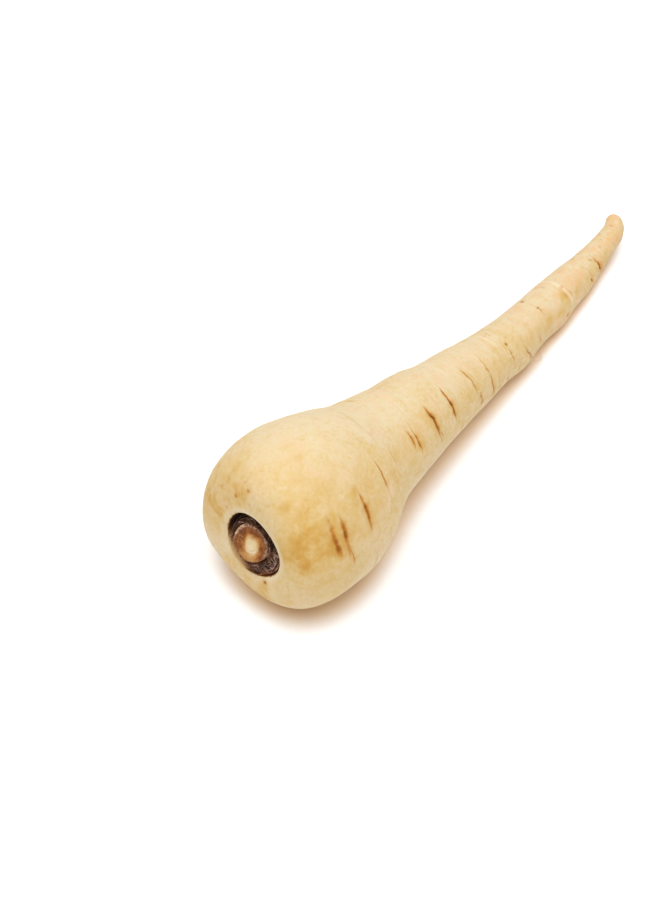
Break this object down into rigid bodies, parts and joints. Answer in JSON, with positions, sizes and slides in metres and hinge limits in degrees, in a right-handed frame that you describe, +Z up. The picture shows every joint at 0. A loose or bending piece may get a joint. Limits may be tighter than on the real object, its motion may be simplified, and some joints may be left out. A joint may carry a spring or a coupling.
{
  "type": "parsnip",
  "caption": "Whole trimmed parsnip lying on its side: broad shoulder, sunken crown with a cut stump in dried leaf bases, creased skin and a bent, tapering tail.",
  "frame": {"origin": "middle of the bounding box's bottom, on the surface that the parsnip lies on", "axes": "+X from the crown to the tail, +Z up, the crown faces -X"},
  "size_m": [0.224, 0.061, 0.0584],
  "materials": {
    "skin": "ivory-cream washed skin with a soft waxy sheen and brown creases",
    "dried_base": "dull, dry, fibrous dark brown",
    "cut_face": "dry cut plant tissue, orange-brown with a cream core"
  },
  "bodies": {
    "root": {"root": "skin", "dried_leaf_bases": "dried_base", "cut_stalk_stump": "cut_face"}
  },
  "joints": []
}
